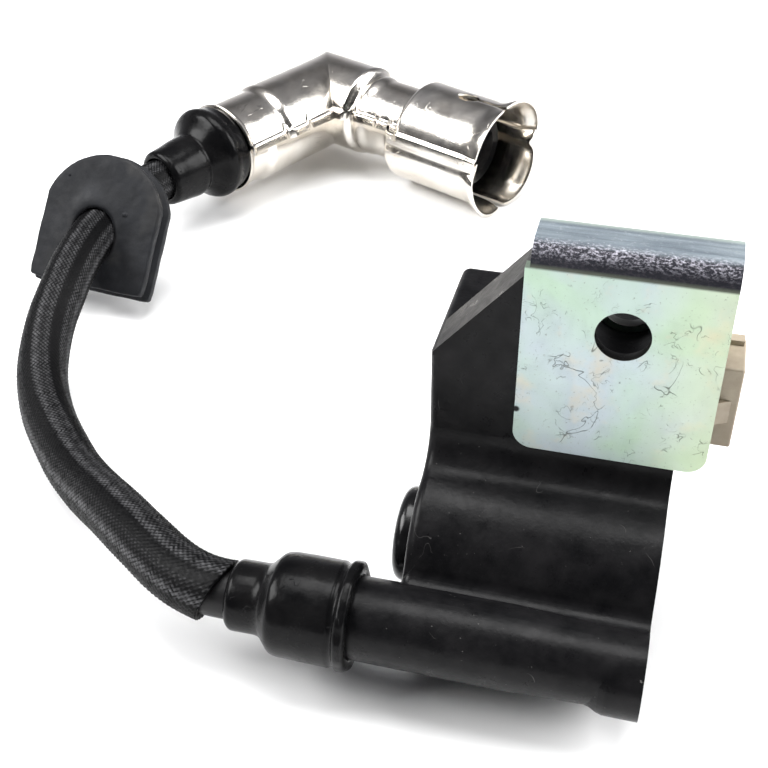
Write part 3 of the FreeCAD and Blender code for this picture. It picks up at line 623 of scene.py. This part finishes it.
def shield_point(kind, value, angle, r):
    """A point of the shield, with the two tubes meeting on the elbow's mitre plane."""
    reach = r * math.cos(angle)
    height = UP * (r * math.sin(angle))
    if kind == "lead":
        place = LEAD_DIR * value + PLUG_DIR * reach + height
    elif kind == "lead_to_corner":
        s = LEAD_END + (-reach - LEAD_END) * value
        place = LEAD_DIR * s + PLUG_DIR * reach + height
    elif kind == "corner_to_plug":
        s = reach + (PLUG_START - reach) * value
        place = PLUG_DIR * s - LEAD_DIR * reach + height
    else:
        # each petal's end is rounded off towards the slits
        shorter = 0.0
        if value > MOUTH - 3:
            round_off = 1.3 * (1 - abs(math.sin(2 * angle)) ** 0.4)
            shorter = round_off * (value - (MOUTH - 3)) / 3
        place = PLUG_DIR * (value - shorter) - LEAD_DIR * reach + height
        return ELBOW + place * MM
    # on top, the crease at the corner leans away from the barrel
    off = place.dot((LEAD_DIR + PLUG_DIR).normalized())
    lean = CREASE_LEAN * max(0.0, math.sin(angle) - 0.18) ** 0.7
    place = place - PLUG_DIR * lean * math.exp(-abs(off) / 2.6)
    return ELBOW + place * MM


# Materials ------------------------------------------------------------------------
class Shader:
    """A node material built from short calls; places are in the part's own frame."""

    def __init__(self, name, metallic=0.0, roughness=0.5, specular=0.5):
        self.material = bpy.data.materials.new(name)
        self.material.use_nodes = True
        self.tree = self.material.node_tree
        self.surface = self.tree.nodes["Principled BSDF"]
        self.surface.inputs["Metallic"].default_value = metallic
        self.surface.inputs["Roughness"].default_value = roughness
        self.surface.inputs["Specular IOR Level"].default_value = specular
        self.place = self.tree.nodes.new("ShaderNodeTexCoord").outputs["Object"]

    def put(self, socket, value):
        if isinstance(value, bpy.types.NodeSocket):
            self.tree.links.new(value, socket)
        elif isinstance(value, tuple) and len(value) == 3 and socket.type == "RGBA":
            socket.default_value = (*value, 1.0)
        else:
            socket.default_value = value

    def stretched(self, scale, turn=(0, 0, 0)):
        node = self.tree.nodes.new("ShaderNodeMapping")
        self.put(node.inputs["Vector"], self.place)
        node.inputs["Scale"].default_value = scale
        node.inputs["Rotation"].default_value = turn
        return node.outputs["Vector"]

    def noise(self, scale, detail=4.0, rough=0.55, distortion=0.0, place=None):
        node = self.tree.nodes.new("ShaderNodeTexNoise")
        self.put(node.inputs["Vector"], place or self.place)
        node.inputs["Scale"].default_value = scale
        node.inputs["Detail"].default_value = detail
        node.inputs["Roughness"].default_value = rough
        node.inputs["Distortion"].default_value = distortion
        return node.outputs["Fac"]

    def ranged(self, value, low, high, to_low=0.0, to_high=1.0):
        node = self.tree.nodes.new("ShaderNodeMapRange")
        self.put(node.inputs["Value"], value)
        node.inputs["From Min"].default_value = low
        node.inputs["From Max"].default_value = high
        node.inputs["To Min"].default_value = to_low
        node.inputs["To Max"].default_value = to_high
        return node.outputs["Result"]

    def math(self, operation, a, b=0.0):
        node = self.tree.nodes.new("ShaderNodeMath")
        node.operation = operation
        self.put(node.inputs[0], a)
        self.put(node.inputs[1], b)
        return node.outputs[0]

    def mix(self, share, a, b):
        node = self.tree.nodes.new("ShaderNodeMix")
        node.data_type = "RGBA"
        self.put(node.inputs["Factor"], share)
        self.put(node.inputs[6], a)
        self.put(node.inputs[7], b)
        return node.outputs[2]

    def hairlines(self, scale, width, cover, cover_scale, distortion=0.6, place=None):
        """Thin wandering lines, broken up so that only some stretches show."""
        wander = self.noise(scale, 2.0, 0.5, distortion, place)
        off = self.math("ABSOLUTE", self.math("SUBTRACT", wander, 0.5))
        line = self.ranged(off, 0.0, width, 1.0, 0.0)
        patch = self.ranged(self.noise(cover_scale, 3.0, 0.6), cover, cover + 0.04)
        return self.math("MULTIPLY", line, patch)

    def axis(self, name):
        node = self.tree.nodes.new("ShaderNodeSeparateXYZ")
        self.put(node.inputs[0], self.place)
        return node.outputs[name]

    def colour(self, value):
        self.put(self.surface.inputs["Base Color"], value)

    def roughness(self, value):
        self.put(self.surface.inputs["Roughness"], value)

    def bump(self, *layers):
        """Layers of (height, distance in millimetres)."""
        last = None
        for height, distance in layers:
            node = self.tree.nodes.new("ShaderNodeBump")
            node.inputs["Distance"].default_value = distance * MM
            node.inputs["Strength"].default_value = 1.0
            self.put(node.inputs["Height"], height)
            if last:
                self.put(node.inputs["Normal"], last)
            last = node.outputs["Normal"]
        self.put(self.surface.inputs["Normal"], last)


def spot_share(m, wide, tall, place, inner, outer):
    """1 in a round spot and 0 outside it; inner and outer are squares of millimetres."""
    off_x = m.math("POWER", m.math("ADD", wide, -place[0]), 2.0)
    off_z = m.math("POWER", m.math("ADD", tall, -place[1]), 2.0)
    return m.ranged(m.math("ADD", off_x, off_z), outer, inner)


def zinc_steel():
    """Hazy green and blue plate; the drawn bend is dark, partly worn plating and partly a painted dark reflection,
    with painted glints on its worn peaks; the top is streaked.
    """
    m = Shader("zinc_steel", metallic=0.55, roughness=0.45, specular=0.4)
    haze = m.noise(75, 3.0, 0.5, 0.4)
    cloud = m.noise(160, 4.0, 0.6)
    tint = m.mix(m.ranged(haze, 0.38, 0.62), (0.40, 0.53, 0.42), (0.44, 0.51, 0.54))
    tint = m.mix(m.ranged(cloud, 0.55, 0.75), tint, (0.56, 0.52, 0.42))
    warm = m.math("MULTIPLY", m.ranged(m.axis("X"), 0.002, 0.013), 0.6)
    tint = m.mix(warm, tint, (0.50, 0.56, 0.34))
    speckle = m.ranged(m.noise(2300, 2.0, 0.7), 0.62, 0.72)
    tint = m.mix(m.math("MULTIPLY", speckle, 0.6), tint, (0.20, 0.21, 0.18))
    lines = m.hairlines(150, 0.007, 0.52, 130, 1.4)
    fine = m.hairlines(420, 0.014, 0.54, 260, 1.0)
    marks = m.math("MAXIMUM", lines, m.math("MULTIPLY", fine, 0.7))
    tint = m.mix(m.math("MULTIPLY", marks, 0.8), tint, (0.07, 0.075, 0.06))
    # from the foot of the bend upwards: olive line, a dark band that is worn plating and painted dark reflection
    # with painted glints on its worn peaks, blue-grey, and a pale edge that is a painted highlight; height and
    # depth are in metres
    height, depth = m.axis("Z"), m.axis("Y")
    peel = m.noise(3600, 4.0, 0.75, 0.0, m.stretched((0.6, 1.0, 1.0)))
    streak = m.noise(700, 3.0, 0.6, 0.0, m.stretched((0.08, 1.0, 1.0)))
    band = m.ranged(height, 0.0076, 0.0079)
    upwards = m.ranged(height, 0.0088, 0.0102, 0.05, 1.0)
    # painted glints: the worn peaks show more towards the top of the bend
    worn = m.math("MULTIPLY", m.ranged(peel, 0.47, 0.66), upwards)
    # the bend's dark band: worn plating and a painted dark reflection
    dark = m.mix(worn, (0.012, 0.012, 0.018), (0.44, 0.43, 0.49))
    dark = m.mix(m.ranged(height, 0.0080, 0.0084), (0.080, 0.090, 0.070), dark)
    blue = m.mix(m.ranged(streak, 0.35, 0.65), (0.14, 0.17, 0.20), (0.30, 0.35, 0.38))
    blue = m.mix(m.math("MULTIPLY", m.ranged(peel, 0.60, 0.70), 0.6), blue, (0.62, 0.64, 0.66))
    # painted highlight along the far edge of the top
    blue = m.mix(m.ranged(depth, 0.0058, 0.0066), blue, (0.36, 0.42, 0.39))
    top = m.mix(m.ranged(depth, 0.0014, 0.0026), dark, blue)
    tint = m.mix(band, tint, top)
    # painted shade in the bolt hole, and one deep nick on the left edge
    wide, tall = m.math("MULTIPLY", m.axis("X"), 1000.0), m.math("MULTIPLY", height, 1000.0)
    bolt_hole_shade = spot_share(m, wide, tall, (0.0, 0.0), 11.0, 11.3)
    tint = m.mix(bolt_hole_shade, tint, (0.015, 0.015, 0.014))
    nick = spot_share(m, wide, tall, (-11.9, -12.8), 0.10, 0.30)
    tint = m.mix(nick, tint, (0.01, 0.01, 0.01))
    m.colour(tint)
    m.roughness(m.ranged(m.noise(300, 4.0, 0.65), 0.3, 0.7, 0.34, 0.54))
    coarse = m.math("MULTIPLY", peel, band)
    m.bump((m.noise(900, 3.0, 0.6), 0.02), (coarse, 0.12), (marks, -0.03))
    return m.material


def housing_plastic():
    m = Shader("housing_plastic", roughness=0.36, specular=0.11)
    mottle = m.noise(240, 5.0, 0.65)
    base = m.mix(m.ranged(mottle, 0.35, 0.7), (0.0035, 0.0035, 0.0040), (0.0100, 0.0096, 0.0103))
    lines = m.hairlines(110, 0.0035, 0.60, 170, 0.8)
    scuff = m.hairlines(600, 0.02, 0.68, 95, 1.5)
    dust = m.ranged(m.noise(1900, 2.0, 0.6), 0.735, 0.78)
    worn = m.math("MAXIMUM", m.math("MULTIPLY", lines, 0.35), m.math("MULTIPLY", scuff, 0.5))
    worn = m.math("MAXIMUM", worn, m.math("MULTIPLY", dust, 0.6))
    m.colour(m.mix(worn, base, (0.16, 0.155, 0.15)))
    m.roughness(m.ranged(m.noise(420, 5.0, 0.7), 0.3, 0.72, 0.24, 0.44))
    m.bump((m.noise(130, 4.0, 0.6), 0.14), (m.noise(1500, 3.0, 0.6), 0.025), (worn, 0.03))
    return m.material


def black_rubber(name, low, high, rough, specular=0.5):
    m = Shader(name, roughness=rough, specular=specular)
    m.colour(m.mix(m.ranged(m.noise(260, 4.0, 0.6), 0.35, 0.7), low, high))
    m.roughness(m.ranged(m.noise(330, 5.0, 0.7), 0.3, 0.7, rough - 0.08, rough + 0.12))
    marks = m.hairlines(240, 0.008, 0.60, 160, 1.0)
    m.bump((m.noise(170, 4.0, 0.6), 0.10), (m.noise(1400, 3.0, 0.6), 0.015), (marks, 0.03))
    return m.material


def grommet_rubber():
    m = Shader("grommet_rubber", roughness=0.54, specular=0.16)
    mottle = m.ranged(m.noise(190, 5.0, 0.65), 0.3, 0.72)
    base = m.mix(mottle, (0.009, 0.0095, 0.011), (0.019, 0.020, 0.023))
    bloom = m.math("MULTIPLY", m.ranged(m.noise(90, 3.0, 0.6), 0.55, 0.72), 0.4)
    m.colour(m.mix(bloom, base, (0.06, 0.058, 0.055)))
    m.roughness(m.ranged(m.noise(500, 4.0, 0.6), 0.3, 0.7, 0.46, 0.66))
    m.bump((m.noise(1700, 4.0, 0.7), 0.02), (m.noise(240, 4.0, 0.6), 0.12))
    return m.material


def braid_yarn():
    m = Shader("braid", roughness=0.5, specular=0.10)
    tone = m.tree.nodes.new("ShaderNodeAttribute")
    tone.attribute_name = "tone"
    # the tone attribute is painted light: highlights on the yarns' crowns and in runs, painted shade between the
    # yarns
    light = m.ranged(tone.outputs["Fac"], 0.30, 0.85)
    patch = m.ranged(m.noise(900, 2.0, 0.6), 0.35, 0.65, 0.35, 1.0)
    share = m.math("MULTIPLY", light, patch)
    m.colour(m.mix(share, (0.002, 0.002, 0.0023), (0.12, 0.12, 0.125)))
    m.roughness(m.ranged(m.noise(1200, 3.0, 0.6), 0.3, 0.7, 0.35, 0.6))
    m.bump((m.noise(5200, 2.0, 0.6), 0.02))
    return m.material


def nickel_sheet():
    m = Shader("nickel_sheet", metallic=1.0, roughness=0.2)
    haze = m.ranged(m.noise(90, 3.0, 0.55), 0.35, 0.68)
    warm = m.mix(haze, (0.82, 0.79, 0.74), (0.72, 0.67, 0.60))
    scratch = m.hairlines(260, 0.006, 0.58, 150, 0.4, m.stretched((1.0, 0.35, 1.0), (0, 0, 0.5)))
    stain = m.math("MULTIPLY", m.ranged(m.noise(420, 5.0, 0.7), 0.60, 0.75), 0.35)
    tint = m.mix(stain, warm, (0.36, 0.33, 0.30))
    m.colour(m.mix(m.math("MULTIPLY", scratch, 0.5), tint, (0.25, 0.24, 0.23)))
    m.roughness(m.ranged(m.noise(260, 5.0, 0.7), 0.3, 0.7, 0.13, 0.27))
    m.bump((m.noise(95, 2.0, 0.5), 0.07), (m.noise(420, 3.0, 0.6), 0.008), (scratch, -0.02))
    return m.material


def cream_plastic():
    m = Shader("connector_plastic", roughness=0.5, specular=0.4)
    base = m.mix(m.ranged(m.noise(300, 4.0, 0.6), 0.3, 0.7), (0.46, 0.39, 0.30), (0.33, 0.27, 0.20))
    # painted shade: darker towards the bottom
    low = m.math("MULTIPLY", m.ranged(m.axis("Z"), -0.008, -0.017), 0.35)
    base = m.mix(low, base, (0.16, 0.12, 0.08))
    specks = m.ranged(m.noise(1500, 2.0, 0.6), 0.74, 0.77)
    m.colour(m.mix(specks, base, (0.05, 0.04, 0.03)))
    m.roughness(m.ranged(m.noise(700, 3.0, 0.6), 0.3, 0.7, 0.42, 0.58))
    m.bump((m.noise(800, 3.0, 0.6), 0.02))
    return m.material


def metal(name, low, high, rough):
    m = Shader(name, metallic=1.0, roughness=rough)
    m.colour(m.mix(m.ranged(m.noise(500, 4.0, 0.6), 0.3, 0.7), low, high))
    m.roughness(m.ranged(m.noise(900, 3.0, 0.6), 0.3, 0.7, rough - 0.08, rough + 0.12))
    m.bump((m.noise(2200, 3.0, 0.6), 0.01))
    return m.material


def plain(name, low, high, rough):
    m = Shader(name, roughness=rough)
    m.colour(m.mix(m.ranged(m.noise(400, 4.0, 0.6), 0.3, 0.7), low, high))
    m.roughness(m.ranged(m.noise(700, 3.0, 0.6), 0.3, 0.7, rough - 0.06, rough + 0.1))
    m.bump((m.noise(1600, 3.0, 0.6), 0.02))
    return m.material


def make_materials():
    return {
        "zinc_steel": zinc_steel(),
        "housing_plastic": housing_plastic(),
        "gloss_cap": black_rubber("gloss_cap", (0.004, 0.004, 0.0045), (0.008, 0.008, 0.0085),
                                  0.18, 0.30),
        "core_iron": metal("core_iron", (0.26, 0.25, 0.24), (0.38, 0.36, 0.34), 0.45),
        "bobbin_plastic": plain("bobbin_plastic", (0.50, 0.45, 0.36), (0.62, 0.57, 0.47), 0.5),
        "copper": metal("copper", (0.62, 0.26, 0.14), (0.80, 0.40, 0.24), 0.3),
        "potting_resin": plain("potting_resin", (0.010, 0.010, 0.010), (0.020, 0.019, 0.018), 0.25),
        "connector_plastic": cream_plastic(),
        "tinned_brass": metal("tinned_brass", (0.66, 0.64, 0.58), (0.78, 0.76, 0.70), 0.28),
        "brass": metal("brass", (0.62, 0.44, 0.20), (0.80, 0.62, 0.32), 0.28),
        "gloss_rubber": black_rubber("gloss_rubber", (0.003, 0.003, 0.0034),
                                     (0.007, 0.0068, 0.007), 0.20, 0.10),
        "lead_jacket": black_rubber("lead_jacket", (0.006, 0.006, 0.0066),
                                    (0.012, 0.0115, 0.012), 0.36, 0.18),
        "braid": braid_yarn(),
        "matte_rubber": grommet_rubber(),
        "nickel_sheet": nickel_sheet(),
        "spring_steel": metal("spring_steel", (0.52, 0.50, 0.47), (0.66, 0.64, 0.60), 0.3),
        "ceramic": plain("ceramic", (0.60, 0.54, 0.44), (0.70, 0.64, 0.54), 0.45),
    }


def dress(piece, material):
    piece.data.materials.clear()
    piece.data.materials.append(material)


# Stage ----------------------------------------------------------------------------
def area_light(name, place, target, size, power):
    data = bpy.data.lights.new(name, "AREA")
    data.shape = "RECTANGLE"
    data.size, data.size_y = size
    data.energy = power
    light = bpy.data.objects.new(name, data)
    bpy.context.scene.collection.objects.link(light)
    light.location = place
    light.rotation_mode = "QUATERNION"
    light.rotation_quaternion = (Vector(target) - Vector(place)).to_track_quat("-Z", "Y")


def make_world():
    """Studio: bright low down behind, dark at mid height, and dim in front."""
    world = bpy.data.worlds.new("studio")
    bpy.context.scene.world = world
    world.use_nodes = True
    tree = world.node_tree
    coords = tree.nodes.new("ShaderNodeTexCoord")
    split = tree.nodes.new("ShaderNodeSeparateXYZ")
    tree.links.new(coords.outputs["Generated"], split.inputs[0])
    wall = tree.nodes.new("ShaderNodeValToRGB")
    tree.links.new(split.outputs["Z"], wall.inputs["Fac"])
    stops = wall.color_ramp.elements
    stops[0].position, stops[0].color = 0.0, (0.85, 0.86, 0.88, 1)
    stops[1].position, stops[1].color = 1.0, (0.42, 0.42, 0.43, 1)
    for position, level in ((0.18, 0.60), (0.40, 0.20), (0.60, 0.10), (0.8, 0.26)):
        stop = stops.new(position)
        stop.color = (level, level, level * 1.06, 1)
    facing = tree.nodes.new("ShaderNodeMapRange")
    facing.inputs["From Min"].default_value = -0.25
    facing.inputs["From Max"].default_value = 0.20
    facing.inputs["To Min"].default_value = 0.10
    tree.links.new(split.outputs["Y"], facing.inputs["Value"])
    background = tree.nodes["Background"]
    tree.links.new(wall.outputs["Color"], background.inputs["Color"])
    tree.links.new(facing.outputs["Result"], background.inputs["Strength"])


def make_stage():
    """White floor just under the part, the studio world and three soft lights."""
    reach, floor_z = 1.6, FLOOR_Z - 0.00005
    corners = [(-reach, -reach), (reach, -reach), (reach, reach), (-reach, reach)]
    floor = new_object("floor", [(x, y, floor_z) for x, y in corners], [(0, 1, 2, 3)])
    m = Shader("floor", roughness=0.9, specular=0.1)
    m.colour(m.mix(m.noise(8.0, 2.0), (0.93, 0.93, 0.93), (0.95, 0.95, 0.95)))
    dress(floor, m.material)
    make_world()
    middle = (-0.045, 0.05, -0.03)
    area_light("soft_left", (-0.60, -0.18, 0.56), middle, (0.55, 0.38), 9.0)
    area_light("soft_right", (0.60, 0.22, 0.42), middle, (0.45, 0.5), 7.5)
    area_light("soft_top", (-0.05, 0.10, 0.85), middle, (0.6, 0.45), 7.5)
    bpy.context.scene.view_settings.view_transform = "Standard"


# Assembly -------------------------------------------------------------------------
def main():
    """The camera and the lead come first, then dress, made pieces on their bodies and stage."""
    make_camera()
    lead, path = make_lead()
    materials = make_materials()
    slots = {row["node"]: row["material_slot"] for row in frame["record"]["subparts"]}
    for name, node in NODES.items():
        dress(node, materials[slots[name]])
    for name in ("mounting_bracket", "connector_housing"):
        join_points(NODES[name])
        round_edges(NODES[name], width=0.12, from_angle=40)

    sleeve = make_sleeve(path)
    boot = make_boot()
    seal = make_cable_seal()
    grommet = make_grommet()
    upper = shield_half("cap_shield_upper_sheet", True)
    lower = shield_half("cap_shield_lower_sheet", False)
    made = [
        (lead, "coil", "hv_lead"), (sleeve, "coil", "braided_sleeve"), (boot, "coil", "tower_boot"),
        (grommet, "grommet", "panel_grommet"), (seal, "plug_cap", "cap_cable_seal"),
        (upper, "plug_cap", "cap_shield_upper"), (lower, "plug_cap", "cap_shield_lower"),
    ]
    for piece, body, node in made:
        dress(piece, materials[slots[node]])
        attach(piece, body)
        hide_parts(node)
    make_stage()


main()
